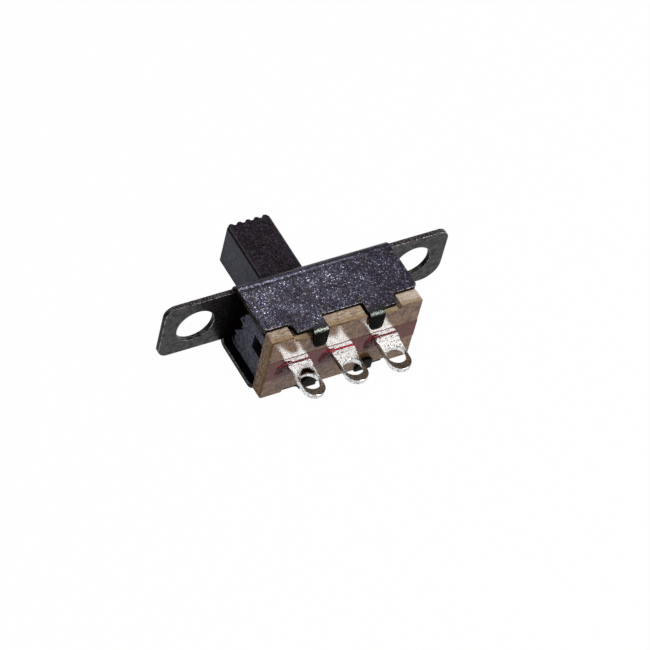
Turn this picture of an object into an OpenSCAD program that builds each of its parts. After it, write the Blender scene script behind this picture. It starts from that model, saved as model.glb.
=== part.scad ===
// Miniature two-way slide switch with solder lugs, for mounting behind a panel.
//
// Frame: the origin is the middle of the mounting face, half way between the two mounting holes.
// -Y points out of the panel, along the knob. +Y points back, along the solder lugs.
// X is the direction that the knob slides in, and the side walls face +Z and -Z.
// The knob is drawn at the +X end of its travel. All lengths are in millimetres.

/* [Steel frame] */
// Overall length over the two ears
overall_l = 19.5; // [19:0.1:22]
// Distance between the centres of the two mounting holes
hole_pitch = 15; // [14.4:0.1:15.6]
// Diameter of each mounting hole
hole_d = 2.5; // [1.8:0.1:2.8]
// Length of the side walls
body_l = 10.5; // [10.2:0.1:11.4]
// Width over the two side walls
body_w = 5.4; // [5.2:0.1:6.5]
// Depth from the mounting face to the ends of the side walls
wall_depth = 4; // [3.7:0.1:5]
// Radius of the corners at the ends of the side walls
wall_corner_r = 0.3; // [0.1:0.05:0.5]
// Thickness of the steel sheet
sheet_t = 0.35; // [0.25:0.05:0.4]
// Inner radius of the fold between the web and each side wall
fold_r = 0.25; // [0.1:0.05:0.35]
// Radius of three of the four ear corners
ear_corner_r = 0.7; // [0.3:0.1:1.2]
// Radius of the one ear corner that is cut rounder
ear_key_corner_r = 1.3; // [0.5:0.1:1.6]

/* [Board tabs] */
// Distance from the middle of the body to the near edge of each tab
tab_x = 1.4; // [1.2:0.05:1.5]
// Width of each tab where it is folded
tab_w = 1.05; // [0.9:0.05:1.3]
// Width of each tab at its tip
tab_tip_w = 0.9; // [0.7:0.05:1.1]
// Radius of the corners at a tab's tip
tab_tip_r = 0.3; // [0.1:0.05:0.35]
// Thickness of a tab, which is pressed thinner than the rest of the sheet
tab_t = 0.2; // [0.15:0.01:0.25]
// Angle that a tab is folded through
tab_angle = 82; // [76:1:88]
// Length of a tab past its fold
tab_l = 1; // [0.8:0.05:1.15]
// Inner radius of the fold in a tab
tab_fold_r = 0.13; // [0.08:0.01:0.16]
// Width of the shoulder beside each tab
shoulder_w = 1; // [0.6:0.05:1.3]
// How far a shoulder reaches past the end of the wall
shoulder_h = 0.75; // [0.3:0.05:0.8]
// How far a shoulder spreads where it joins the wall
shoulder_slope = 0.15; // [0:0.05:0.2]
// Radius of a shoulder's free corner
shoulder_corner_r = 0.1; // [0.05:0.01:0.15]
// Radius in the corner between a shoulder and its tab, which the tab's bend cuts short
shoulder_fillet_r = 0.3; // [0.2:0.01:0.4]

/* [Terminal board] */
// Length of the board
board_l = 10.35; // [9.6:0.05:10.8]
// Width of the board
board_w = 5; // [4.9:0.1:5.1]
// Thickness of the board
board_t = 1; // [0.85:0.05:1.5]
// Depth of each notch that a tab passes through
notch_d = 0.3; // [0.25:0.01:0.35]
// Room between a notch's floor and the tab over it
notch_gap = 0.03; // [0.01:0.01:0.05]
// Room at each end of a notch, beside the steel in it
notch_end_gap = 0.1; // [0.05:0.01:0.15]

/* [Terminals] */
// Distance between neighbouring terminals
terminal_pitch = 3; // [2.7:0.1:3.2]
// Thickness of the terminal sheet
terminal_t = 0.35; // [0.25:0.05:0.4]
// Width of a solder lug round its eye
lug_w = 1.45; // [1.3:0.05:1.7]
// Width of a lug's root, which stands on the board
lug_root_w = 1.6; // [1.4:0.05:1.8]
// Length of the root before the lug narrows
lug_root_l = 0.35; // [0.2:0.05:0.45]
// Length over which the lug narrows
lug_taper_l = 0.4; // [0.2:0.05:0.5]
// Radius of the corners at a lug's root
lug_root_r = 0.12; // [0.05:0.01:0.2]
// How far a lug stands out of the board
lug_out = 2.75; // [2.3:0.05:4]
// Diameter of the eye in a lug
eye_d = 1.25; // [0.8:0.05:1.25]
// Distance from the board to the centre of the eye
eye_out = 1.6; // [1.3:0.05:1.7]
// Width of the contact blade inside
blade_w = 1.1; // [0.8:0.05:1.2]
// How far a blade reaches in from the board
blade_in = 1.3; // [1.2:0.05:1.6]
// Width of the staked collar that holds a blade against the board
stake_w = 1.36; // [1.3:0.02:1.5]
// Height of the staked collar
stake_h = 0.15; // [0.1:0.05:0.2]
// Room between a blade and its slot in the board
slot_gap = 0.02; // [0.01:0.01:0.05]

/* [Knob] */
// Distance that the knob travels
travel = 2.9; // [2.6:0.1:3.1]
// Width of the knob along its travel
knob_w = 2.9; // [2.4:0.1:3]
// Thickness of the knob across its travel
knob_t = 3.1; // [2.6:0.1:3.1]
// Height of the knob above the mounting face
knob_h = 5.05; // [3:0.05:7]
// Radius along the knob's four long edges
knob_edge_r = 0.1; // [0.05:0.01:0.2]
// Number of ridges across the knob's end
ridge_count = 5; // [4:1:6]
// Radius of each ridge's crest
ridge_r = 0.2; // [0.15:0.01:0.22]
// Height of a ridge above the valleys
ridge_h = 0.15; // [0.1:0.01:0.15]
// Room between the knob and its slot in the web
knob_gap = 0.1; // [0.05:0.01:0.15]

/* [Sliding base] */
// Length of the base along its travel
base_l = 6.6; // [6.4:0.1:7]
// Room between the base and the steel round it
base_gap = 0.08; // [0.05:0.01:0.12]
// Chamfer along the base's front edges, which clears the folds of the frame
base_chamfer = 0.35; // [0.3:0.05:0.5]
// Room between the base and the board
base_back_gap = 0.2; // [0.15:0.05:0.3]
// Width of the channel that the blades pass along, across the knob's travel
channel_w = 1.1; // [1:0.05:1.5]
// Room between the ends of the blades and the channel's floor
channel_gap = 0.15; // [0.1:0.05:0.25]

/* [Contact clip] */
// Thickness of the spring bronze
clip_t = 0.18; // [0.12:0.02:0.2]
// Width of one pair of fingers
finger_w = 1.4; // [1.2:0.05:1.5]
// Width over the clip's two sides
clip_w = 2.2; // [2:0.05:2.4]
// Width over the flared lips of the fingers
lip_w = 1.3; // [1.1:0.05:1.4]
// Room between a finger and the blade that it grips
grip_gap = 0.03; // [0.02:0.01:0.05]
// Room between the clip and the pocket that holds it
pocket_gap = 0.08; // [0.05:0.01:0.1]
// Depth of the pocket's floor behind the mounting face
pocket_y = 1.4; // [1.2:0.05:1.5]

/* [Sealing lacquer] */
// Width of the lacquer band along the middle of the board
band_w = 1.6; // [1.2:0.05:1.9]
// Thickness of the lacquer band
band_t = 0.05; // [0.03:0.01:0.08]
// Radius of the bead beside each lug
bead_r = 0.42; // [0.3:0.02:0.5]
// Height of the bead beside each lug
bead_h = 0.3; // [0.2:0.02:0.36]
// Thickness of the line of lacquer round a lug's root
root_line = 0.1; // [0.05:0.01:0.14]

/* [Hidden] */
$fn = 64;

// An amount by which joined shapes run into each other, and cuts run past a surface.
lap = 0.05;
// The same, for a flat plate that runs into either end of a bend.
seam = 0.01;

steel_colour = [0.16, 0.16, 0.18];
board_colour = [0.62, 0.50, 0.40];
silver_colour = [0.86, 0.86, 0.84];
lacquer_colour = [0.45, 0.10, 0.10];
plastic_colour = [0.20, 0.20, 0.22];
bronze_colour = [0.80, 0.58, 0.32];

// Frame: the ears are as wide as the flat of the web between the two folds.
fold_out_r = fold_r + sheet_t;
inner_w = body_w - 2 * sheet_t;
ear_w = body_w - 2 * fold_out_r;

// Board: it sits on the ends of the side walls, and its notches clear the steel of the tabs.
board_y0 = wall_depth;
board_y1 = wall_depth + board_t;
notch_z = board_w / 2 - notch_d;
tab_end_x = tab_x + tab_w;
shoulder_y = wall_depth + shoulder_h;
shoulder_end_x = tab_end_x + shoulder_w;

// Tabs: the centre of a tab's fold. The tab's inner face meets the board's at the notch's floor.
tab_fold_z = body_w / 2 - tab_t - tab_fold_r;
tab_drop = (tab_fold_z + tab_fold_r * cos(tab_angle) - notch_z - notch_gap) / sin(tab_angle);
tab_fold_y = board_y1 - tab_fold_r * sin(tab_angle) - tab_drop * cos(tab_angle);
fillet_rise = min(tab_fold_y - shoulder_y, shoulder_fillet_r);
fillet_run = sqrt(pow(shoulder_fillet_r, 2) - pow(shoulder_fillet_r - fillet_rise, 2));

// Terminals
terminal_xs = [terminal_pitch, 0, -terminal_pitch];
blade_y = board_y0 - blade_in;

// Knob and base: the knob rests at the +X end of its travel.
knob_x = travel / 2;
slot_l = knob_w + travel + 2 * knob_gap;
slot_w = knob_t + 2 * knob_gap;
base_y0 = sheet_t + base_gap;
base_y1 = board_y0 - base_back_gap;
base_w = inner_w - 2 * base_gap;
channel_y = blade_y - channel_gap;

// Clip: each pair of fingers is as far from the next as the terminals are.
clip_l = terminal_pitch + finger_w;
grip_z = terminal_t / 2 + grip_gap + clip_t / 2;
side_z = clip_w / 2 - clip_t / 2;
lip_z = lip_w / 2 - clip_t / 2;
clip_y = pocket_y + clip_t / 2;

// Extrudes a shape drawn as (Y, Z) along X, from x0 to x1.
module along_x(x0, x1) {
    translate([x0, 0, 0]) rotate([90, 0, 90]) linear_extrude(x1 - x0) children();
}

// Extrudes a shape drawn as (X, Z) along Y, from y0 to y1.
module along_y(y0, y1) {
    translate([0, y1, 0]) rotate([90, 0, 0]) linear_extrude(y1 - y0) children();
}

// Extrudes a shape drawn as (X, Y) along Z, from z0 to z1.
module along_z(z0, z1) {
    translate([0, 0, z0]) linear_extrude(z1 - z0) children();
}

// The sharp corner that a round of radius r takes off, with the corner at the origin.
module corner(r) {
    difference() {
        translate([-lap, -lap]) square(r + lap);
        translate([r, r]) circle(r);
    }
}

// A rectangle with two rounded corners at its x = 0 end. The radii are at its low and high y.
module half_rounded(l, w, r_low, r_high) {
    difference() {
        translate([0, -w / 2]) square([l, w]);
        translate([0, -w / 2]) corner(r_low);
        translate([0, w / 2]) mirror([0, 1]) corner(r_high);
    }
}

// A strip of sheet of thickness t along a list of points, as a closed outline.
function unit(v) = v / norm(v);
function side(v) = [-v[1], v[0]];
function dot(a, b) = a[0] * b[0] + a[1] * b[1];
function strip_normal(p, i) =
    let (before = unit(p[max(i, 1)] - p[max(i, 1) - 1]),
         after = unit(p[min(i, len(p) - 2) + 1] - p[min(i, len(p) - 2)]),
         middle = unit(side(before) + side(after)))
    middle / dot(middle, side(before));
function strip_edge(p, d) = [for (i = [0 : len(p) - 1]) p[i] + d * strip_normal(p, i)];
function strip_outline(p, t) =
    let (left = strip_edge(p, t / 2), right = strip_edge(p, -t / 2))
    concat(left, [for (i = [len(p) - 1 : -1 : 0]) right[i]]);

// Section of the channel: web, two folds and two side walls.
module channel_solid(y0, w, r) {
    translate([y0 + r, -w / 2]) square([wall_depth - y0 - r, w]);
    translate([y0, -w / 2 + r]) square([wall_depth - y0, w - 2 * r]);
    for (s = [-1, 1]) translate([y0 + r, s * (w / 2 - r)]) circle(r);
}

module channel_section() {
    difference() {
        channel_solid(0, body_w, fold_out_r);
        channel_solid(sheet_t, inner_w, fold_r);
        translate([wall_depth - lap, -inner_w / 2]) square([2 * lap, inner_w]);
    }
}

// The web with its two ears, seen along the knob.
module web_outline() {
    difference() {
        union() {
            translate([-overall_l / 2, 0])
                half_rounded(overall_l / 2 + lap, ear_w, ear_key_corner_r, ear_corner_r);
            translate([overall_l / 2, 0]) mirror([1, 0])
                half_rounded(overall_l / 2 + lap, ear_w, ear_corner_r, ear_corner_r);
        }
        for (s = [-1, 1]) translate([s * hole_pitch / 2, 0]) circle(d = hole_d);
    }
}

// One shoulder on the end of a side wall, drawn as (X, Y).
module shoulder_outline() {
    difference() {
        polygon([
            [tab_x, wall_depth - lap],
            [shoulder_end_x + shoulder_slope, wall_depth - lap],
            [shoulder_end_x + shoulder_slope, wall_depth],
            [shoulder_end_x, wall_depth + 2 * shoulder_slope],
            [shoulder_end_x, shoulder_y],
            [tab_x, shoulder_y],
        ]);
        translate([shoulder_end_x, shoulder_y]) rotate(180) corner(shoulder_corner_r);
    }
}

// The neck of a tab, between its shoulder and its fold, drawn as (X, Y).
module neck_outline() {
    translate([tab_x, wall_depth - lap])
        square([tab_w, tab_fold_y + seam - wall_depth + lap]);
    difference() {
        translate([tab_end_x - lap, shoulder_y - lap])
            square([fillet_run + lap, fillet_rise + lap]);
        translate([tab_end_x + fillet_run, shoulder_y + shoulder_fillet_r])
            circle(shoulder_fillet_r);
    }
}

// The bend between a tab's neck and its folded end, drawn as (Y, Z) round the fold's centre.
module tab_fold_section() {
    reach = 2 * (tab_fold_r + tab_t);
    intersection() {
        difference() {
            circle(tab_fold_r + tab_t);
            circle(tab_fold_r);
        }
        polygon([[0, 0], [0, reach], [reach, reach], reach * [sin(tab_angle), cos(tab_angle)]]);
    }
}

// The folded end of a tab, drawn flat as (X, Y) with its fold along Y = 0.
module tab_end_outline() {
    tip_x = tab_tip_w / 2 - tab_tip_r;
    polygon([
        [-tab_w / 2, -seam],
        [tab_w / 2, -seam],
        [tab_tip_w / 2, tab_l - tab_tip_r],
        [tip_x, tab_l],
        [-tip_x, tab_l],
        [-tab_tip_w / 2, tab_l - tab_tip_r],
    ]);
    for (s = [-1, 1]) translate([s * tip_x, tab_l - tab_tip_r]) circle(tab_tip_r);
}

module tab() {
    along_z(inner_w / 2, body_w / 2) shoulder_outline();
    along_z(body_w / 2 - tab_t, body_w / 2) neck_outline();
    translate([0, tab_fold_y, tab_fold_z]) {
        along_x(tab_x, tab_end_x) tab_fold_section();
        translate([tab_x + tab_w / 2, 0, 0]) rotate([-tab_angle, 0, 0])
            along_z(tab_fold_r, tab_fold_r + tab_t) tab_end_outline();
    }
}

module steel_frame() {
    color(steel_colour) {
        difference() {
            union() {
                along_x(-body_l / 2, body_l / 2) channel_section();
                along_y(0, sheet_t) web_outline();
            }
            translate([-slot_l / 2, -lap, -slot_w / 2]) cube([slot_l, sheet_t + 2 * lap, slot_w]);
            along_z(-body_w, body_w) for (turn = [0, 180])
                translate([turn == 0 ? body_l / 2 : -body_l / 2, wall_depth])
                    rotate(turn == 0 ? 180 : -90) corner(wall_corner_r);
        }
        for (turn = [0, 1], flip = [0, 1]) mirror([0, 0, turn]) mirror([flip, 0, 0]) tab();
    }
}

// One notch in the board's +Z edge, for a shoulder and its tab.
module notch_outline() {
    top = board_w / 2 + lap;
    foot_x = shoulder_end_x + notch_end_gap;
    lip_x = foot_x + shoulder_slope;
    polygon([
        [tab_x - notch_end_gap, notch_z],
        [foot_x, notch_z],
        [lip_x, board_w / 2],
        [lip_x, top],
        [tab_x - notch_end_gap, top],
    ]);
}

module terminal_board() {
    color(board_colour) along_y(board_y0, board_y1) difference() {
        square([board_l, board_w], center = true);
        for (turn = [0, 1], flip = [0, 1]) mirror([0, turn]) mirror([flip, 0]) notch_outline();
        for (x = terminal_xs) translate([x, 0])
            square([blade_w + 2 * slot_gap, terminal_t + 2 * slot_gap], center = true);
    }
}

// A solder lug, drawn as (X, Y): root, taper and round end, with its eye.
module lug_outline() {
    ring_y = board_y1 + lug_out - lug_w / 2;
    root_y = board_y1 + lug_root_l;
    difference() {
        union() {
            translate([0, ring_y]) circle(d = lug_w);
            translate([-lug_w / 2, root_y]) square([lug_w, ring_y - root_y]);
            difference() {
                translate([-lug_root_w / 2, board_y1]) square([lug_root_w, lug_root_l]);
                for (turn = [0, 1]) mirror([turn, 0])
                    translate([-lug_root_w / 2, board_y1]) corner(lug_root_r);
            }
            polygon([
                [-lug_root_w / 2, root_y],
                [lug_root_w / 2, root_y],
                [lug_w / 2, root_y + lug_taper_l],
                [-lug_w / 2, root_y + lug_taper_l],
            ]);
        }
        translate([0, board_y1 + eye_out]) circle(d = eye_d);
    }
}

// A whole terminal, drawn flat: solder lug, neck, staked collar and contact blade.
module terminal_outline() {
    lead_in = 0.2;
    lug_outline();
    polygon([
        [blade_w / 2, board_y1 + lap],
        [-blade_w / 2, board_y1 + lap],
        [-blade_w / 2, blade_y + lead_in],
        [lead_in - blade_w / 2, blade_y],
        [blade_w / 2 - lead_in, blade_y],
        [blade_w / 2, blade_y + lead_in],
    ]);
    translate([-stake_w / 2, board_y0 - stake_h]) square([stake_w, stake_h]);
}

module terminal(x) {
    color(silver_colour) translate([x, 0, 0])
        along_z(-terminal_t / 2, terminal_t / 2) terminal_outline();
}

module terminal_left() { terminal(terminal_xs[0]); }
module terminal_common() { terminal(terminal_xs[1]); }
module terminal_right() { terminal(terminal_xs[2]); }

// A bead of lacquer: the cap of a ball, standing on the board.
module bead() {
    ball_r = (bead_r * bead_r + bead_h * bead_h) / (2 * bead_h);
    intersection() {
        translate([0, board_y1 + bead_h - ball_r, 0]) sphere(ball_r);
        translate([0, board_y1, 0]) rotate([-90, 0, 0]) cylinder(h = bead_h + lap, r = 2 * bead_r);
    }
}

module sealing_lacquer() {
    color(lacquer_colour) difference() {
        union() {
            translate([-board_l / 2, board_y1, -band_w / 2]) cube([board_l, band_t, band_w]);
            for (x = terminal_xs) {
                translate([x + lug_root_w / 2 + bead_r / 2, 0, 0]) bead();
                translate([x - lug_root_w / 2 - root_line, board_y1, -terminal_t / 2 - root_line])
                    cube([lug_root_w + 2 * root_line, band_t + root_line,
                          terminal_t + 2 * root_line]);
            }
        }
        for (x = terminal_xs) translate([x - lug_root_w / 2, board_y1 - lap, -terminal_t / 2])
            cube([lug_root_w, lug_out, terminal_t]);
    }
}

// Outline of the knob, drawn as (X, Y), with its ridged end at -Y.
module knob_outline() {
    pitch = knob_w / ridge_count;
    end_y = -knob_h;
    translate([-knob_w / 2, end_y + ridge_h])
        square([knob_w, knob_h - ridge_h + base_y0 + lap]);
    intersection() {
        translate([-knob_w / 2, end_y]) square([knob_w, 2 * ridge_r]);
        for (i = [0 : ridge_count - 1])
            translate([(i + 0.5 - ridge_count / 2) * pitch, end_y + ridge_r]) circle(ridge_r);
    }
}

// The knob, with its four long edges rounded.
module knob() {
    intersection() {
        along_z(-knob_t / 2, knob_t / 2) knob_outline();
        along_y(-knob_h - lap, base_y0 + 2 * lap) difference() {
            square([knob_w, knob_t], center = true);
            for (flip = [0, 1], turn = [0, 1]) mirror([flip, 0]) mirror([0, turn])
                translate([-knob_w / 2, -knob_t / 2]) corner(knob_edge_r);
        }
    }
}

// Section of the sliding base, drawn as (Y, Z), with its front edges chamfered.
module base_section() {
    half_w = base_w / 2;
    polygon([
        [base_y0, half_w - base_chamfer],
        [base_y0 + base_chamfer, half_w],
        [base_y1, half_w],
        [base_y1, -half_w],
        [base_y0 + base_chamfer, -half_w],
        [base_y0, base_chamfer - half_w],
    ]);
}

module actuator() {
    pocket_l = clip_l + 2 * pocket_gap;
    pocket_w = clip_w + 2 * pocket_gap;
    color(plastic_colour) translate([knob_x, 0, 0]) difference() {
        union() {
            along_x(-base_l / 2, base_l / 2) base_section();
            knob();
        }
        translate([-base_l / 2 - lap, channel_y, -channel_w / 2])
            cube([base_l + 2 * lap, base_y1 - channel_y + lap, channel_w]);
        translate([-pocket_l / 2, pocket_y, -pocket_w / 2])
            cube([pocket_l, base_y1 - pocket_y + lap, pocket_w]);
    }
}

// One side of the clip, drawn as (Y, Z): back, side, finger and flared lip.
module clip_side() {
    grip_y = blade_y + 0.4 * blade_in;
    polygon(strip_outline([
        [clip_y, -lap],
        [clip_y, side_z],
        [blade_y - channel_gap, side_z],
        [grip_y, grip_z],
        [base_y1 - base_back_gap, lip_z],
    ], clip_t));
}

module contact_clip() {
    color(bronze_colour) translate([knob_x, 0, 0]) {
        translate([-clip_l / 2, pocket_y, -clip_w / 2]) cube([clip_l, clip_t, clip_w]);
        for (x = [-terminal_pitch / 2, terminal_pitch / 2], turn = [0, 1])
            mirror([0, 0, turn]) along_x(x - finger_w / 2, x + finger_w / 2) clip_side();
    }
}

steel_frame();
terminal_board();
terminal_left();
terminal_common();
terminal_right();
sealing_lacquer();
actuator();
contact_clip();
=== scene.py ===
"""The looks of a miniature two-way slide switch: every finish, the sealing lacquer, and a plain white studio.

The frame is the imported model: metres, X along the ears, -Y along the knob, +Y along the solder lugs, +Z up.
"""

import math

import bmesh
import bpy
from mathutils import Matrix, Vector, noise


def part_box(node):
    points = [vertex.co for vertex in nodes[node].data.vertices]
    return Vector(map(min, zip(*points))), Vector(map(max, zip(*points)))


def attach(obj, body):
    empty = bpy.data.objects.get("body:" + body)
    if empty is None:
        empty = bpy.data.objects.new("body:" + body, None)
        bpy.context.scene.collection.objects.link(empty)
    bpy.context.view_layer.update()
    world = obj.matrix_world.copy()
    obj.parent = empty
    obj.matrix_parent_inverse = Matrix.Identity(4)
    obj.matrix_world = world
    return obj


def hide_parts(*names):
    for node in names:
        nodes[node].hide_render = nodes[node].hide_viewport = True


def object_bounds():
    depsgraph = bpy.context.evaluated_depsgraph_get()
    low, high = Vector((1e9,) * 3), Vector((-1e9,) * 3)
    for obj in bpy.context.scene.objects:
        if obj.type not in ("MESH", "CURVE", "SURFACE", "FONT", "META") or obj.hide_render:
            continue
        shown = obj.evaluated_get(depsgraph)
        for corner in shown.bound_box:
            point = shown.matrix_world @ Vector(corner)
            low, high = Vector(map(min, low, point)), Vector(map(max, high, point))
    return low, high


MM = 0.001
PER_MM = 1.0 / MM

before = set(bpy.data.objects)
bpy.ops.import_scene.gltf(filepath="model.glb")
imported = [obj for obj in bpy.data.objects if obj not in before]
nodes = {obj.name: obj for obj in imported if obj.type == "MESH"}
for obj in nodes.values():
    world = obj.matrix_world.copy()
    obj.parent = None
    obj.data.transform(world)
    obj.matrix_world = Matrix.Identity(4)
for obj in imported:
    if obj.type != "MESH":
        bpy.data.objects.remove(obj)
cad_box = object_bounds()


# ---------------------------------------------------------------- places on the part, in metres

BOARD_FRONT, BOARD_BACK = (corner.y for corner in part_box("terminal_board"))

# The knob is what stands out of the frame, beyond this place along -Y.
CLEAR_OF_FRAME = -1 * MM
knob_points = [vertex.co for vertex in nodes["actuator"].data.vertices if vertex.co.y < CLEAR_OF_FRAME]
KNOB_HALF = max(point.z for point in knob_points)
KNOB_NEAR = max(point.x for point in knob_points)
KNOB_FAR = min(point.x for point in knob_points)
KNOB_MIDDLE = (KNOB_NEAR + KNOB_FAR) / 2
KNOB_HALF_WIDTH = (KNOB_NEAR - KNOB_FAR) / 2

# From where to where the walls turn into tabs, along Y, and the web into ears, outward along X.
TAB_ROOT = (4.5 * MM, 4.9 * MM)
TAB_RIM_ROOT = (4.7 * MM, 4.9 * MM)
EAR_ROOT = (5.28 * MM, 5.32 * MM)

# The bright line that the press left along each wall's fold, and the painted shade of a furrow beside it.
FOLD_LINE_Y = 0.64 * MM
FOLD_LINE_LEAN = (0, 0.62, 0)
FURROW_SHADE_Y = 0.84 * MM

# The spot on one ear's corner where a glint is painted as a white fleck.
PAINTED_GLINT_SPOT = (9.31 * MM, 0.33 * MM, 2.36 * MM)

# The patch of painted shadow on one lug, as (X, Y), and where it ends at the eye, along Y.
SHADOW_PATCH_MIDDLE = (2.90 * MM, 6.24 * MM)
SHADOW_PATCH_HALF = (0.50 * MM, 0.63 * MM)
SHADOW_PATCH_END = (6.25 * MM, 6.05 * MM)


# ---------------------------------------------------------------- shader helpers


class Tree:
    """A node tree that is written as nested calls: each call returns the new node's output socket."""

    def __init__(self, tree):
        self.nodes = tree.nodes
        self.links = tree.links
        self.nodes.clear()

    def add(self, kind, inputs=None, out=0, **settings):
        node = self.nodes.new("ShaderNode" + kind)
        for name, value in settings.items():
            setattr(node, name, value)
        for name, value in (inputs or {}).items():
            self.feed(node.inputs[name], value)
        return node.outputs[out] if node.outputs else None

    def feed(self, socket, value):
        if isinstance(value, bpy.types.NodeSocket):
            self.links.new(value, socket)
        elif socket.type == "RGBA":
            socket.default_value = (*value, 1)
        else:
            socket.default_value = value

    def place(self):
        """Metres in the row frame."""
        return self.add("TexCoord", out="Object")

    def axes(self, vector):
        node = self.add("SeparateXYZ", {0: vector}).node
        return node.outputs["X"], node.outputs["Y"], node.outputs["Z"]

    def stretched(self, vector, scale):
        return self.add("Mapping", {"Vector": vector, "Scale": scale})

    def noise(self, vector, grain_mm, detail=2.0, roughness=0.5, distortion=0.0):
        """Soft noise from 0 to 1 whose lumps are about grain_mm across."""
        inputs = {
            "Vector": vector,
            "Scale": PER_MM / grain_mm,
            "Detail": detail,
            "Roughness": roughness,
            "Distortion": distortion,
        }
        return self.add("TexNoise", inputs)

    def cells(self, vector, grain_mm, out):
        return self.add("TexVoronoi", {"Vector": vector, "Scale": PER_MM / grain_mm}, out=out)

    def math(self, operation, a, b=0.0):
        return self.add("Math", {0: a, 1: b}, operation=operation)

    def product(self, first, *factors):
        for factor in factors:
            first = self.math("MULTIPLY", first, factor)
        return first

    def magnitude(self, value):
        return self.math("ABSOLUTE", value)

    def apart(self, value, middle):
        """How far a value lies from the middle."""
        return self.magnitude(self.math("SUBTRACT", value, middle))

    def remap(self, value, low, high, to_low=0.0, to_high=1.0):
        inputs = {"Value": value, "From Min": low, "From Max": high, "To Min": to_low, "To Max": to_high}
        return self.add("MapRange", inputs)

    def rest(self, share):
        """What a share leaves of 1."""
        return self.remap(share, 0, 1, 1, 0)

    def mix(self, factor, a, b):
        """Colour or number a where factor is 0, and b where it is 1."""
        node = self.add("Mix", data_type="RGBA").node
        self.feed(node.inputs[0], factor)
        self.feed(node.inputs[6], a)
        self.feed(node.inputs[7], b)
        return node.outputs[2]

    def tones(self, value, low, high, a, b):
        """Colour a where a value is low, and b where it is high."""
        return self.mix(self.remap(value, low, high), a, b)

    def blend(self, factor, a, b):
        """Shader a where factor is 0, and b where it is 1."""
        return self.add("MixShader", {0: factor, 1: a, 2: b})

    def bump(self, height, depth_mm, normal=None):
        """Relief whose lows and highs are depth_mm apart."""
        inputs = {"Height": height, "Distance": depth_mm * MM, "Strength": 1.0}
        if normal is not None:
            inputs["Normal"] = normal
        return self.add("Bump", inputs)

    def leaned(self, lean):
        """The surface's normal, leaned by a vector."""
        normal = self.add("NewGeometry", out="Normal")
        summed = self.add("VectorMath", {0: normal, 1: lean}, operation="ADD")
        return self.add("VectorMath", {0: summed}, operation="NORMALIZE")

    def flakes(self, vector, grain_mm, tilt):
        """A surface normal that each small cell tilts its own way, as flakes in a paint do."""
        colour = self.cells(vector, grain_mm, "Color")
        centred = self.add("VectorMath", {0: colour, 1: (0.5, 0.5, 0.5)}, operation="SUBTRACT")
        return self.leaned(self.add("VectorMath", {0: centred, "Scale": tilt}, operation="SCALE"))

    def facing(self, axis):
        """How squarely the surface faces along an axis, from -1 to 1."""
        normal = self.add("NewGeometry", out="Normal")
        return self.axes(normal)["XYZ".index(axis)]

    def across(self, axis):
        """How squarely the surface faces along an axis, either way, from 0 to 1."""
        return self.magnitude(self.facing(axis))


def material(name, build):
    made = bpy.data.materials.new(name)
    made.use_nodes = True
    tree = Tree(made.node_tree)
    tree.add("OutputMaterial", {"Surface": build(tree)})
    return made


# ---------------------------------------------------------------- finishes

MATT_BLACKS = ((0.001, 0.001, 0.001), (0.006, 0.004, 0.003))


def worn_metal(t, grain):
    """Steel that shines through where the paint has gone."""
    return t.add("BsdfPrincipled", {
        "Base Color": t.mix(grain, (0.10, 0.09, 0.10), (0.62, 0.60, 0.62)),
        "Metallic": 0.8,
        "Roughness": 0.42,
        "Normal": t.bump(grain, 0.02),
    })


def painted_glint_corner(t, place, paint):
    """Paint with a painted highlight on an ear's corner: a white spot that stands for a glint."""
    away = t.add("VectorMath", {0: place, 1: PAINTED_GLINT_SPOT}, out="Value", operation="DISTANCE")
    bright = t.add("BsdfPrincipled", {
        "Base Color": (0.80, 0.80, 0.82),
        "Roughness": 0.4,
        "Specular IOR Level": 0.5,
    })
    return t.blend(t.remap(away, 0.17 * MM, 0.11 * MM), paint, bright)


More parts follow.
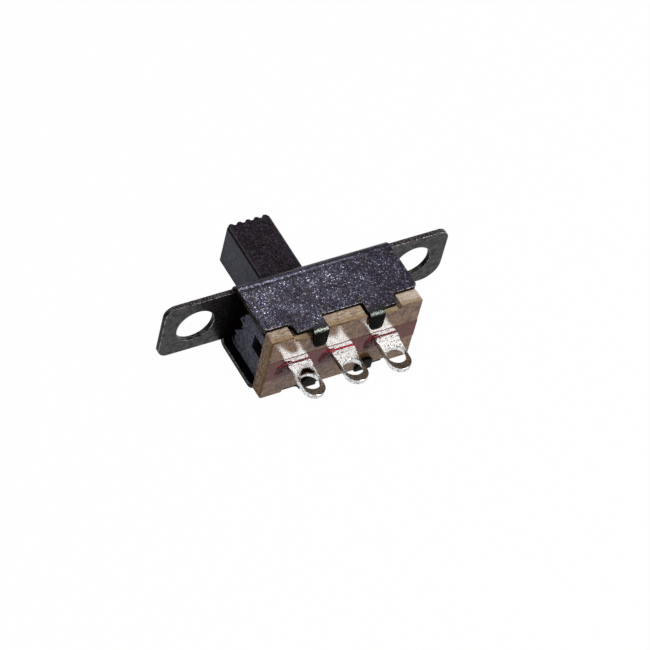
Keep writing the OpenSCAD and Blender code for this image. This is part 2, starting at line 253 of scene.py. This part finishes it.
def black_steel(t):
    """Black stove paint, full of fine blue and violet flakes on the walls and bare of them elsewhere."""
    place = t.place()
    x, y, z = t.axes(place)
    blotches = t.noise(place, 1.3, detail=4)
    grain = t.noise(place, 0.11, detail=3, roughness=0.6)
    peel = t.noise(place, 0.35, detail=3)
    relief = t.bump(grain, 0.014, t.bump(peel, 0.020))
    # How squarely the surface faces out of either side wall, from -1 to 1.
    outward = t.product(t.facing("Z"), t.math("SIGN", z))
    on_tab = t.remap(y, *TAB_ROOT)
    on_ear = t.remap(t.magnitude(x), *EAR_ROOT)
    on_wall = t.product(t.remap(outward, 0.55, 0.95), t.rest(on_tab), t.rest(on_ear))

    # The plain paint shines in patches, and hardly at all inside the frame and on the sheet's cut ends.
    body = t.mix(blotches, (0.004, 0.002, 0.002), (0.009, 0.007, 0.007))
    dull = t.add("BsdfPrincipled", {
        "Base Color": body,
        "Roughness": 0.4,
        "Specular IOR Level": 0.05,
        "Normal": relief,
    })
    bright = t.add("BsdfPrincipled", {
        "Base Color": body,
        "Roughness": t.remap(grain, 0.3, 0.7, 0.20, 0.36),
        "Specular IOR Level": 0.6,
        "Specular Tint": (0.96, 0.97, 1.0),
        "Normal": relief,
    })
    on_web = t.product(t.remap(t.facing("Y"), 0.6, 0.9), t.remap(on_ear, 0, 1, 0.85, 0.0))
    shine = t.product(
        t.remap(peel, 0.32, 0.68, 0.25, 0.95),
        t.remap(t.across("X"), 0.6, 0.9, 1.0, 0.1),
        t.remap(outward, -0.9, -0.6, 0.15, 1.0),
        t.rest(on_web),
    )
    plain = t.blend(shine, dull, bright)

    # The tabs are matt, with the paint stretched thin over the metal on their bends.
    matt = t.add("BsdfPrincipled", {
        "Base Color": t.mix(grain, *MATT_BLACKS),
        "Roughness": 0.4,
        "Specular IOR Level": 0.02,
        "Normal": relief,
    })
    # The metal is painted lighter toward +X, a painted highlight that makes one tab's bend shine brighter
    # than the other's.
    painted_highlight_by_x = t.tones(x, -1 * MM, 1 * MM, (0.17, 0.19, 0.17), (0.27, 0.29, 0.27))
    thinned = t.add("BsdfPrincipled", {
        "Base Color": t.tones(grain, 0.40, 0.60, (0.026, 0.036, 0.030), painted_highlight_by_x),
        "Metallic": 1.0,
        "Roughness": 0.42,
        "Normal": t.bump(grain, 0.026),
    })
    tabs = t.blend(t.remap(outward, 0.35, 0.70), matt, thinned)
    painted = t.blend(on_tab, plain, tabs)

    # The walls have a haze of flakes, and bright flakes that thin out toward the board and -X: painted shade,
    # where the wall falls darker.
    hue = t.axes(t.cells(place, 0.11, "Color"))[0]
    haze = t.add("BsdfPrincipled", {
        "Base Color": t.mix(hue, (0.13, 0.14, 0.27), (0.30, 0.26, 0.34)),
        "Metallic": 1.0,
        "Roughness": 0.5,
        "Normal": t.flakes(place, 0.10, 0.9),
    })
    flake = t.add("BsdfPrincipled", {
        "Base Color": t.mix(hue, (0.28, 0.30, 0.53), (0.60, 0.58, 0.66)),
        "Metallic": 1.0,
        "Roughness": 0.42,
        "Normal": t.flakes(place, 0.055, 1.2),
    })
    # The line along the fold and the painted shade of the furrow fade toward -X.
    fold_press_and_shade = t.remap(x, -3.5 * MM, 4.0 * MM, 0.12, 1.0)
    painted_furrow_shade = t.product(t.remap(t.apart(y, FURROW_SHADE_Y), 0.16 * MM, 0.05 * MM, 0.0, 0.8), fold_press_and_shade)
    flakes_and_painted_shade = t.product(
        t.remap(blotches, 0.34, 0.66, 0.22, 0.90),
        t.remap(x, -5.2 * MM, 1.5 * MM, 0.18, 1.0),
        t.remap(y, 1.5 * MM, 4.2 * MM, 1.0, 0.52),
        t.rest(painted_furrow_shade),
        t.remap(y, 0.50 * MM, 0.62 * MM, 0.30, 1.0),
    )
    beads = t.remap(t.noise(place, 0.20, detail=4, roughness=0.6), 0.42, 0.60, 0.05, 0.72)
    fold_line = t.product(t.remap(t.apart(y, FOLD_LINE_Y), 0.09 * MM, 0.03 * MM), fold_press_and_shade, beads)
    ridge = t.add("BsdfPrincipled", {
        "Base Color": t.mix(hue, (0.06, 0.07, 0.12), (0.17, 0.17, 0.21)),
        "Metallic": 1.0,
        "Roughness": 0.45,
        "Normal": t.leaned(FOLD_LINE_LEAN),
    })
    painted = t.blend(t.product(on_wall, 0.29), painted, haze)
    painted = t.blend(t.product(flakes_and_painted_shade, on_wall), painted, flake)
    painted = t.blend(t.product(fold_line, on_wall), painted, ridge)

    ear_edge = t.product(t.remap(t.across("Z"), 0.6, 0.8), on_ear)
    wear = t.product(ear_edge, t.remap(grain, 0.44, 0.60, 0.06, 0.85))
    return painted_glint_corner(t, place, t.blend(wear, painted, worn_metal(t, grain)))


def steel_edges(t):
    """The same paint where it has been rubbed thin, in specks, along the sheared edges."""
    place = t.place()
    y = t.axes(place)[1]
    grain = t.noise(place, 0.14, detail=3, roughness=0.6)
    runs = t.noise(place, 0.9, detail=2)
    paint = t.add("BsdfPrincipled", {
        "Base Color": t.mix(grain, (0.003, 0.002, 0.002), (0.016, 0.014, 0.018)),
        "Roughness": 0.35,
        "Specular IOR Level": 0.3,
        "Normal": t.bump(grain, 0.012),
    })
    matt = t.add("BsdfPrincipled", {
        "Base Color": t.mix(grain, *MATT_BLACKS),
        "Roughness": 0.5,
        "Specular IOR Level": 0.0,
    })
    paint = t.blend(t.remap(y, *TAB_RIM_ROOT, 0.0, 0.85), paint, matt)
    wear = t.product(
        t.remap(grain, 0.42, 0.56),
        t.remap(runs, 0.36, 0.54, 0.15, 1.0),
        t.remap(y, *TAB_RIM_ROOT, 1.0, 0.08),
    )
    return painted_glint_corner(t, place, t.blend(wear, paint, worn_metal(t, grain)))


def phenolic(t):
    """Brown paper laminate: varnished smooth on its faces, and fibrous along its punched edges."""
    place = t.place()
    x, y = t.axes(place)[:2]
    fibres = t.noise(t.stretched(place, (1, 4, 1.5)), 0.38, detail=6, roughness=0.75)
    specks = t.noise(place, 0.13, detail=4, roughness=0.7)
    clouds = t.noise(place, 1.1, detail=4, roughness=0.6)
    on_face = t.remap(t.across("Y"), 0.6, 0.9)
    on_end = t.remap(t.across("X"), 0.6, 0.9)

    mottle = t.mix(0.35, specks, t.noise(place, 0.32, detail=3))
    face = t.tones(mottle, 0.41, 0.59, (0.030, 0.009, 0.004), (0.226, 0.116, 0.060))
    face = t.mix(t.remap(clouds, 0.45, 0.72, 0.0, 0.6), face, (0.20, 0.105, 0.034))

    edge = t.tones(fibres, 0.38, 0.62, (0.20, 0.120, 0.070), (0.74, 0.60, 0.47))
    edge = t.mix(t.remap(specks, 0.52, 0.70, 0.0, 0.6), edge, (0.78, 0.65, 0.53))
    edge = t.mix(t.remap(clouds, 0.32, 0.46, 0.5, 0.0), edge, (0.16, 0.085, 0.045))
    edge = t.mix(t.remap(x, -2.5 * MM, -4.5 * MM, 0.0, 0.45), edge, (0.88, 0.78, 0.68))
    edge = t.mix(t.product(on_end, t.remap(specks, 0.40, 0.58, 0.75, 0.10)), edge, (0.16, 0.050, 0.040))
    # Varnish has soaked in along the back. The punch has left cracks, and burnt the rims at both faces.
    soaked = t.math("ADD", y, t.product(clouds, 0.5 * MM))
    soaked = t.remap(soaked, BOARD_BACK - 0.14 * MM, BOARD_BACK - 0.10 * MM, 0, 0.55)
    edge = t.mix(soaked, edge, (0.34, 0.215, 0.085))
    cracks = t.remap(t.noise(place, 0.22, detail=4, roughness=0.7), 0.40, 0.32, 0.0, 0.7)
    edge = t.mix(cracks, edge, (0.10, 0.055, 0.028))
    back_rim = t.remap(y, BOARD_BACK - 0.16 * MM, BOARD_BACK - 0.05 * MM, 0, 0.85)
    front_rim = t.remap(y, BOARD_FRONT + 0.14 * MM, BOARD_FRONT + 0.03 * MM, 0, 0.6)
    burnt = t.product(t.math("MAXIMUM", back_rim, front_rim), t.remap(clouds, 0.38, 0.60, 0.3, 1))
    edge = t.mix(burnt, edge, (0.06, 0.028, 0.014))

    relief = t.product(t.mix(0.5, specks, fibres), t.remap(on_face, 0, 1, 1.0, 0.06))
    return t.add("BsdfPrincipled", {
        "Base Color": t.mix(on_face, edge, face),
        "Roughness": t.remap(on_face, 0, 1, 0.85, 0.5),
        "Specular IOR Level": 0.04,
        "Coat Weight": t.remap(on_face, 0, 1, 0.0, 0.8),
        "Coat Roughness": 0.2,
        "Normal": t.bump(relief, 0.08),
    })


def painted_shadow_patch(t, place, ragged):
    """Where shadow is painted on the top of one lug: an oval with a ragged edge, cut off at the eye."""
    x, y, z = t.axes(place)
    off_x = t.math("DIVIDE", t.math("SUBTRACT", x, SHADOW_PATCH_MIDDLE[0]), SHADOW_PATCH_HALF[0])
    off_y = t.math("DIVIDE", t.math("SUBTRACT", y, SHADOW_PATCH_MIDDLE[1]), SHADOW_PATCH_HALF[1])
    away = t.math("ADD", t.product(off_x, off_x), t.product(off_y, off_y))
    away = t.math("ADD", away, t.product(t.math("SUBTRACT", ragged, 0.5), 0.5))
    return t.product(t.remap(away, 1.06, 0.92), t.remap(y, *SHADOW_PATCH_END), t.remap(z, 0.0, 0.1 * MM))


def silver(t):
    """Bright silver plating on a rolled strip, finely pitted and scratched, and dull on its cut edges."""
    place = t.place()
    ripples = t.noise(place, 0.6, detail=2)
    pits = t.noise(place, 0.10, detail=3, roughness=0.65)
    scuffs = t.noise(t.stretched(place, (6, 1, 6)), 0.6, detail=4)
    shear = t.noise(place, 0.25, detail=3, roughness=0.6)
    on_edge = t.remap(t.across("Z"), 0.3, 0.6, 1, 0)
    plate = t.mix(ripples, (0.87, 0.89, 0.89), (0.94, 0.97, 0.98))
    plate = t.mix(on_edge, plate, t.tones(shear, 0.36, 0.62, (0.52, 0.52, 0.52), (0.88, 0.89, 0.89)))
    plate = t.mix(t.remap(pits, 0.53, 0.61, 0.0, 0.95), plate, (0.13, 0.11, 0.095))
    # A brown patch on one lug is painted shadow, where a tab keeps the light off it.
    shadow_brown = t.tones(pits, 0.40, 0.60, (0.028, 0.012, 0.004), (0.070, 0.034, 0.012))
    return t.add("BsdfPrincipled", {
        "Base Color": t.mix(painted_shadow_patch(t, place, shear), plate, shadow_brown),
        "Metallic": 1.0,
        "Roughness": t.remap(scuffs, 0.3, 0.7, 0.09, 0.17),
        "Normal": t.bump(pits, 0.009, t.bump(ripples, 0.004)),
    })


def lacquer(t):
    """Red sealing lacquer, brushed on thin over the brown board, and almost black where it is thick."""
    place = t.place()
    x, y, z = t.axes(place)
    streaks = t.noise(t.stretched(place, (1, 1, 2.2)), 0.5, detail=5, roughness=0.6)
    specks = t.noise(place, 0.12, detail=4, roughness=0.7)
    climb = t.remap(y, BOARD_BACK + 0.02 * MM, BOARD_BACK + 0.05 * MM)
    depth = t.remap(y, BOARD_BACK + 0.055 * MM, BOARD_BACK + 0.12 * MM)
    red = t.tones(specks, 0.36, 0.64, (0.046, 0.001, 0.003), (0.105, 0.008, 0.011))
    thin = t.tones(specks, 0.38, 0.62, (0.080, 0.016, 0.009), (0.150, 0.044, 0.024))
    film = t.mix(t.remap(streaks, 0.42, 0.60, 0.0, 0.75), red, thin)
    # Where it climbs over the top of a lug's root, a painted highlight makes it bright red, most of all at
    # the middle lug.
    painted_highlight_red = t.tones(t.magnitude(x), 1.3 * MM, 1.0 * MM, (0.210, 0.005, 0.014), (0.620, 0.008, 0.035))
    highlight_over_root = t.product(t.remap(z, 0.12 * MM, 0.18 * MM), t.remap(z, 0.44 * MM, 0.36 * MM))
    painted_highlight_red = t.mix(highlight_over_root, (0.090, 0.003, 0.007), painted_highlight_red)
    film = t.mix(climb, film, t.tones(specks, 0.40, 0.54, (0.070, 0.002, 0.006), painted_highlight_red))
    brushed = t.add("BsdfPrincipled", {
        "Base Color": film,
        "Roughness": 0.45,
        "Specular IOR Level": 0.0,
        "Coat Weight": t.remap(climb, 0, 1, 0.75, 0.5),
        "Coat Roughness": 0.15,
        "Normal": t.bump(specks, 0.006),
    })
    pooled = t.add("BsdfPrincipled", {
        "Base Color": t.tones(specks, 0.44, 0.60, (0.010, 0.001, 0.001), (0.080, 0.003, 0.006)),
        "Roughness": 0.10,
        "Specular IOR Level": 0.3,
        "Normal": t.bump(specks, 0.07),
    })
    return t.blend(depth, brushed, pooled)


def black_plastic(t):
    """Black acetal moulding, scuffed and dusty, with painted shade above a curling edge on the base's ends
    and a paler painted reflection below it.
    """
    place = t.place()
    x, y, z = t.axes(place)
    grain = t.noise(place, 0.10, detail=4, roughness=0.7)
    clouds = t.noise(place, 1.0, detail=4, roughness=0.6)
    scuffs = t.noise(place, 0.30, detail=4, roughness=0.7)
    dust = t.cells(place, 0.27, "Distance")
    on_side = t.remap(t.across("X"), 0.5, 0.8)
    on_base = t.remap(y, 0.0, 0.1 * MM)
    on_knob = t.rest(on_base)

    dark = t.tones(clouds, 0.38, 0.62, (0.006, 0.003, 0.003), (0.013, 0.011, 0.018))
    top = t.tones(grain, 0.42, 0.66, dark, (0.058, 0.050, 0.062))
    top = t.mix(t.remap(dust, 0.17, 0.06, 0.0, 0.8), top, (0.20, 0.18, 0.19))
    # Along the top's long edges it is lighter, from rubbing and a painted highlight.
    near_edge = t.math("SUBTRACT", t.apart(x, KNOB_MIDDLE), KNOB_HALF_WIDTH)
    near_edge = t.remap(near_edge, -0.16 * MM, -0.10 * MM)
    rubbed_and_highlit_edge = t.product(near_edge, on_knob, t.remap(grain, 0.36, 0.56, 0.25, 1.0))
    top = t.mix(rubbed_and_highlit_edge, top, (0.075, 0.064, 0.070))
    # The sides are painted paler and bluer than the top, a painted reflection of the floor.
    side = t.tones(clouds, 0.38, 0.62, (0.030, 0.032, 0.045), (0.055, 0.058, 0.076))
    side = t.mix(t.remap(grain, 0.45, 0.70, 0.0, 0.6), side, (0.060, 0.062, 0.072))
    moulded = t.add("BsdfPrincipled", {
        "Base Color": t.mix(on_side, top, side),
        "Roughness": t.remap(grain, 0.3, 0.7, 0.30, 0.45),
        "Specular IOR Level": 0.08,
        "Specular Tint": (0.85, 0.90, 1.0),
        "Normal": t.bump(grain, 0.012),
    })
    # The rubbed grey on the sides and the base's ends is partly scuffing and partly a painted reflection of
    # the floor.
    scuffing = t.mix(0.35, grain, scuffs)
    rubbed = t.add("BsdfPrincipled", {
        "Base Color": t.tones(scuffing, 0.43, 0.57, (0.076, 0.078, 0.108), (0.250, 0.256, 0.330)),
        "Roughness": 0.6,
        "Specular IOR Level": 0.0,
    })
    rubbing_and_painted_reflection = t.math("MAXIMUM", t.remap(clouds, 0.38, 0.62, 0.0, 0.85), t.product(on_base, 0.9))
    moulded = t.blend(t.product(on_side, rubbing_and_painted_reflection), moulded, rubbed)

    # On the base's ends shade is painted near black above a curling edge. Below it the paler rubbed grey is
    # partly a painted reflection.
    curl = t.noise(place, 0.9, detail=3, roughness=0.5, distortion=1.5)
    edge = t.math("ADD", t.product(z, 0.20), t.product(t.math("SUBTRACT", curl, 0.5), 2.4 * MM))
    above = t.remap(t.math("SUBTRACT", y, edge), 1.30 * MM, 1.20 * MM)
    shade_above_curl = t.product(t.math("MAXIMUM", above, t.remap(z, 1.2 * MM, 1.5 * MM)), on_side, on_base)
    # A shadowed line runs beside each long edge of the knob.
    beside = t.remap(t.magnitude(z), KNOB_HALF - 0.22 * MM, KNOB_HALF - 0.15 * MM)
    beside = t.product(beside, on_side, on_knob, 0.9)
    painted_shade = t.add("BsdfPrincipled", {
        "Base Color": t.mix(grain, (0.0030, 0.0010, 0.0008), (0.009, 0.004, 0.003)),
        "Roughness": 0.5,
        "Specular IOR Level": 0.0,
    })
    return t.blend(t.math("MAXIMUM", beside, shade_above_curl), moulded, painted_shade)


def bronze(t):
    """Rolled phosphor bronze, with fine lines along the strip."""
    place = t.place()
    lines = t.noise(t.stretched(place, (0.6, 8, 8)), 0.5, detail=3)
    return t.add("BsdfPrincipled", {
        "Base Color": t.mix(lines, (0.55, 0.32, 0.14), (0.80, 0.52, 0.27)),
        "Metallic": 1.0,
        "Roughness": t.remap(lines, 0.3, 0.7, 0.2, 0.35),
        "Normal": t.bump(lines, 0.004),
    })


# ---------------------------------------------------------------- pieces

# For cleaning a CAD mesh: points that are one, splinters, and faces that lie in one plane.
SAME_POINT = 0.0005 * MM
SPLINTER = 0.005 * MM
SAME_PLANE = math.radians(0.5)
AT_CORNER = 0.01 * MM

# For softening its edges. The widths are in millimetres.
SHARP = math.radians(35)
SOFT_SEGMENTS = 3
CORNER_SEGMENTS = 4
STEEL_EDGE = 0.032
BOARD_EDGE = 0.04
BOARD_CORNER = 0.13
LUG_EDGE = 0.035
PLASTIC_EDGE = 0.045

# How each lug has been knocked: lean along X at the tip in millimetres, then twist and lift in degrees.
LUG_KNOCKS = {
    "terminal_left": (0.03, -5, 0),
    "terminal_common": (0.11, 0, 3),
    "terminal_right": (0.12, 0, 0),
}
# Where the knock starts, outside the board. Each of the three is full at 1 / reach of the way to the tip.
LUG_START = 0.1 * MM
LEAN_REACH = 1.6
TWIST_REACH = 2.5
LIFT_REACH = 2


def round_corners(shape, radius_mm):
    """Rounds the edges that run along Y at the four outer corners."""
    half_x = max(vertex.co.x for vertex in shape.verts)
    half_z = max(vertex.co.z for vertex in shape.verts)

    def at_corner(point):
        return abs(abs(point.x) - half_x) < AT_CORNER and abs(abs(point.z) - half_z) < AT_CORNER

    edges = [edge for edge in shape.edges if all(at_corner(vertex.co) for vertex in edge.verts)]
    bmesh.ops.bevel(
        shape, geom=edges, offset=radius_mm * MM, segments=CORNER_SEGMENTS, profile=0.5, affect="EDGES"
    )


def finished_mesh(node, reshape, corners_mm):
    """A clean copy of a CAD solid's mesh, with rounded corners and bent by reshape where those are given."""
    shape = bmesh.new()
    shape.from_mesh(nodes[node].data)
    bmesh.ops.remove_doubles(shape, verts=shape.verts, dist=SAME_POINT)
    bmesh.ops.dissolve_limit(shape, angle_limit=SAME_PLANE, verts=shape.verts, edges=shape.edges)
    bmesh.ops.dissolve_degenerate(shape, dist=SPLINTER, edges=shape.edges)
    if corners_mm:
        round_corners(shape, corners_mm)
    if reshape:
        for vertex in shape.verts:
            vertex.co = reshape(vertex.co)
    mesh = bpy.data.meshes.new(node + "_finished")
    shape.to_mesh(mesh)
    shape.free()
    mesh.shade_smooth()
    return mesh


def dressed(node, body, finish, edge_mm, reshape=None, rims=None, corners_mm=0):
    """A finished copy of a CAD solid, with its sharp edges softened, which stands in for the plain one.

    rims is a second finish, for the softened edges alone.
    """
    mesh = finished_mesh(node, reshape, corners_mm)
    mesh.materials.append(finish)
    if rims:
        mesh.materials.append(rims)
    piece = bpy.data.objects.new(node + "_finished", mesh)
    bpy.context.scene.collection.objects.link(piece)
    bevel = piece.modifiers.new("softened_edges", "BEVEL")
    bevel.width = edge_mm * MM
    bevel.segments = SOFT_SEGMENTS
    bevel.limit_method = "ANGLE"
    bevel.angle_limit = SHARP
    bevel.use_clamp_overlap = False
    if rims:
        bevel.material = 1
    shading = piece.modifiers.new("flat_faces", "WEIGHTED_NORMAL")
    shading.weight = 100
    shading.keep_sharp = True
    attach(piece, body)
    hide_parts(node)
    return piece


def bent_lug(node, lean_mm, twist_deg, lift_deg):
    """How one lug has been knocked: leaned along X at its tip, twisted along its length, and lifted."""
    low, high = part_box(node)
    axis_x = (low.x + high.x) / 2
    root_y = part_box("terminal_board")[1].y + LUG_START
    length = high.y - root_y

    def reshape(point):
        along = max(0.0, (point.y - root_y) / length)
        lean = lean_mm * MM * min(1.0, LEAN_REACH * along)
        twist = math.radians(twist_deg) * min(1.0, TWIST_REACH * along)
        lift = math.radians(lift_deg) * min(1.0, LIFT_REACH * along)
        across, up = point.x - axis_x, point.z
        x = axis_x + across * math.cos(twist) + up * math.sin(twist) + lean
        z = up * math.cos(twist) - across * math.sin(twist)
        run = along * length
        return Vector((x, point.y - run * (1 - math.cos(lift)), z + run * math.sin(lift)))

    return reshape


steel_paint = material("black_steel", black_steel)
steel_rims = material("black_steel_edges", steel_edges)
laminate = material("phenolic_laminate", phenolic)
silver_plate = material("silver_plate", silver)
red_lacquer = material("red_lacquer", lacquer)
plastic = material("black_plastic", black_plastic)

dressed("steel_frame", "housing", steel_paint, STEEL_EDGE, rims=steel_rims)
dressed("terminal_board", "housing", laminate, BOARD_EDGE, corners_mm=BOARD_CORNER)
for lug, knock in LUG_KNOCKS.items():
    dressed(lug, "housing", silver_plate, LUG_EDGE, bent_lug(lug, *knock))
dressed("actuator", "slider", plastic, PLASTIC_EDGE)

clip_mesh = nodes["contact_clip"].data
clip_mesh.materials.clear()
clip_mesh.materials.append(material("spring_bronze", bronze))


# ---------------------------------------------------------------- lacquer skin, in millimetres

LUG_HALF_WIDTH = 0.8
LUG_HALF_THICKNESS = 0.175

# The brushed band: its upper and lower edge along Z, how the lower one slopes along X, how thick the band is,
# how wide its thin margin is, and how far it is sunk. Outside it the skin dips steeply into the board.
BAND_UPPER = 0.78
BAND_LOWER = -0.92
BAND_SLOPE = 0.03
BAND_THICKNESS = 0.020
BAND_MARGIN = 0.14
BAND_SUNK = 0.003
DIP_STEEPNESS = 10
DIP_DEPTH = 0.04

# The climb round each lug's root: its height, how far it spreads, squared, and how far it is sunk.
CLIMB_HEIGHT = 0.075
CLIMB_SPREAD = 0.013
CLIMB_SUNK = 0.01

# The pool beside each lug: where its middle is, how it leans, how big it is, and how thick.
POOL_BESIDE = 0.24
POOL_DROP = 0.06
POOL_LEAN = 0.40
POOL_HALF_WIDTH = 0.42
POOL_HALF_HEIGHT = 0.52
POOL_FOOT = 0.05
POOL_RISE = 0.15

# The mesh: how far it stops short of the board's ends, half its height, and how finely it is cut.
SKIN_INSET = 0.07
SKIN_HALF = 1.35
SKIN_COLUMNS = 420
SKIN_ROWS = 96


def waves(x, y, z):
    """Smooth noise, from about -1 to 1."""
    return noise.noise(Vector((x, y, z)))


def step(value):
    """0 below 0, 1 above 1, and a smooth climb between."""
    value = max(0.0, min(1.0, value))
    return value * value * (3 - 2 * value)


def band_height(x, z):
    """The brushed coat, which dips into the board outside its ragged edges."""
    ragged = 0.06 * waves(x * 1.1, 0, 7) + 0.04 * waves(x * 5, 3, 2)
    upper = BAND_UPPER + ragged - z
    lower = z - BAND_LOWER + BAND_SLOPE * x + 0.8 * ragged
    height = BAND_THICKNESS * step(min(upper, lower) / BAND_MARGIN) - BAND_SUNK
    height += 0.003 * waves(x * 3, 5, z * 4)
    return height if height >= 0 else max(-DIP_DEPTH, height * DIP_STEEPNESS)


def climb_height(x, z, lug_x):
    """The climb of lacquer round a lug's root."""
    out_x = max(0.0, abs(x - lug_x) - LUG_HALF_WIDTH)
    out_z = max(0.0, abs(z) - LUG_HALF_THICKNESS)
    return CLIMB_HEIGHT * math.exp(-((out_x ** 2 + out_z ** 2) / CLIMB_SPREAD)) - CLIMB_SUNK


def pool_height(x, z, lug_x):
    """The leaning, lumpy pool beside a lug, and 0 outside it."""
    across = x - lug_x - LUG_HALF_WIDTH - POOL_BESIDE + POOL_LEAN * (z + 0.05)
    up = z + POOL_DROP
    lumps = 0.7 * waves(x * 3, lug_x, z * 3) + 0.3 * waves(x * 9, lug_x, z * 9)
    bulge = 1.1 - (across / POOL_HALF_WIDTH) ** 2 - (up / POOL_HALF_HEIGHT) ** 2 + lumps
    if bulge <= 0:
        return 0.0
    dimples = 0.6 + 0.8 * waves(x * 8, z * 8, lug_x)
    return POOL_FOOT + POOL_RISE * min(1.0, bulge) * min(1.0, max(0.2, dimples))


def lacquer_height(x, z, lug_xs):
    """How far the lacquer stands out from the board at a point. Below 0 it is hidden inside the board."""
    height = band_height(x, z)
    for lug_x in lug_xs:
        for raised in (climb_height(x, z, lug_x), pool_height(x, z, lug_x)):
            if raised > 0:
                height = max(height, raised)
    return height


def lacquer_skin():
    board_low, board_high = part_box("terminal_board")
    lug_xs = [sum(corner.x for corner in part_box(node)) / 2 * PER_MM for node in LUG_KNOCKS]
    left, right = board_low.x * PER_MM + SKIN_INSET, board_high.x * PER_MM - SKIN_INSET
    points = []
    for row in range(SKIN_ROWS + 1):
        z = -SKIN_HALF + 2 * SKIN_HALF * row / SKIN_ROWS
        for column in range(SKIN_COLUMNS + 1):
            x = left + (right - left) * column / SKIN_COLUMNS
            points.append((x * MM, BOARD_BACK + lacquer_height(x, z, lug_xs) * MM, z * MM))
    stride = SKIN_COLUMNS + 1
    faces = []
    for row in range(SKIN_ROWS):
        for column in range(SKIN_COLUMNS):
            start = row * stride + column
            faces.append((start, start + stride, start + stride + 1, start + 1))
    mesh = bpy.data.meshes.new("lacquer_skin")
    mesh.from_pydata(points, [], faces)
    mesh.shade_smooth()
    mesh.materials.append(red_lacquer)
    skin = bpy.data.objects.new("lacquer_skin", mesh)
    bpy.context.scene.collection.objects.link(skin)
    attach(skin, "housing")
    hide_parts("sealing_lacquer")


lacquer_skin()


# ---------------------------------------------------------------- studio

WHITE = (1, 1, 1)
PAPER = (0.85, 0.85, 0.85)
ROOM = (0.26, 0.26, 0.27)
ROOM_DARK = (0.105, 0.078, 0.058)
DARK_DIRECTION = (-0.43, -0.512, 0.743)

FLOOR_SIZE = 0.8
FLOOR_GLOW = 0.985
FLOOR_GAP = 0.01 * MM

KEY_DIRECTION = Vector((-0.424, 0.510, 0.748))
KEY_DISTANCE = 0.40
KEY_SIDE = 0.18
KEY_RADIANCE = 14.0

CAMERA_AZIMUTH = math.radians(140.108)
CAMERA_ELEVATION = math.radians(48.135)
CAMERA_ROLL = math.radians(15.245)
CAMERA_DISTANCE = 236.3 * MM
CAMERA_NEAR = 0.01
CAMERA_LENS = 217.5
SENSOR = 36.0
# How far the view's centre lies to the right of the origin, and below it, in the picture's own plane.
AIM_RIGHT = 1.354 * MM
AIM_DOWN = 2.143 * MM


def white_floor(t):
    """White paper. The camera and reflections see it as lit almost evenly, with a hint of the shadow."""
    path = t.add("LightPath").node
    seen = t.math("MAXIMUM", path.outputs["Is Camera Ray"], path.outputs["Is Glossy Ray"])
    seen = t.math("MAXIMUM", seen, path.outputs["Is Transmission Ray"])
    paper = t.add("BsdfDiffuse", {"Color": PAPER})
    glow = t.add("Emission", {"Color": WHITE, "Strength": 1.0})
    return t.blend(t.product(seen, FLOOR_GLOW), paper, glow)


def studio_world(t):
    """White to the camera. For light and reflections, a grey room that is darker high up at the front."""
    direction = t.add("VectorMath", {0: t.add("TexCoord", out="Generated")}, operation="NORMALIZE")
    toward_dark = t.add(
        "VectorMath", {0: direction, 1: DARK_DIRECTION}, out="Value", operation="DOT_PRODUCT"
    )
    room = t.add("Background", {"Color": t.tones(toward_dark, 0.3, 0.9, ROOM, ROOM_DARK), "Strength": 1.0})
    white = t.add("Background", {"Color": WHITE, "Strength": 1.0})
    return t.blend(t.add("LightPath", out="Is Camera Ray"), room, white)


def add_floor(height):
    half = FLOOR_SIZE / 2
    corners = [(-half, -half, height), (half, -half, height), (half, half, height), (-half, half, height)]
    mesh = bpy.data.meshes.new("floor")
    mesh.from_pydata(corners, [], [(0, 1, 2, 3)])
    mesh.materials.append(material("white_floor", white_floor))
    floor = bpy.data.objects.new("floor", mesh)
    bpy.context.scene.collection.objects.link(floor)


def add_softbox(name, direction, distance, side, radiance):
    """A square, white area light that faces the object and has the given radiance."""
    lamp = bpy.data.lights.new(name, "AREA")
    lamp.size = side
    lamp.energy = radiance * math.pi * side * side
    softbox = bpy.data.objects.new(name, lamp)
    softbox.location = direction.normalized() * distance
    softbox.rotation_euler = direction.to_track_quat("Z", "Y").to_euler()
    bpy.context.scene.collection.objects.link(softbox)


def add_world():
    world = bpy.data.worlds.new("studio")
    world.use_nodes = True
    tree = Tree(world.node_tree)
    tree.add("OutputWorld", {"Surface": studio_world(tree)})
    bpy.context.scene.world = world


def add_camera():
    azimuth, elevation, roll = CAMERA_AZIMUTH, CAMERA_ELEVATION, CAMERA_ROLL
    back = Vector((
        math.sin(azimuth) * math.cos(elevation),
        -math.cos(azimuth) * math.cos(elevation),
        math.sin(elevation),
    ))
    level = Vector((math.cos(azimuth), math.sin(azimuth), 0))
    upright = back.cross(level)
    right = math.cos(roll) * level + math.sin(roll) * upright
    up = math.cos(roll) * upright - math.sin(roll) * level
    camera = bpy.data.objects.new("camera", bpy.data.cameras.new("camera"))
    camera.data.lens = CAMERA_LENS
    camera.data.sensor_width = SENSOR
    camera.data.clip_start = CAMERA_NEAR
    place = back * CAMERA_DISTANCE + right * AIM_RIGHT - up * AIM_DOWN
    turn = Matrix((right, up, back)).transposed().to_4x4()
    camera.matrix_world = Matrix.Translation(place) @ turn
    bpy.context.scene.collection.objects.link(camera)
    bpy.context.scene.camera = camera


add_floor(cad_box[0][2] - FLOOR_GAP)
add_softbox("key", KEY_DIRECTION, KEY_DISTANCE, KEY_SIDE, KEY_RADIANCE)
add_world()
add_camera()
bpy.context.scene.view_settings.view_transform = "Standard"
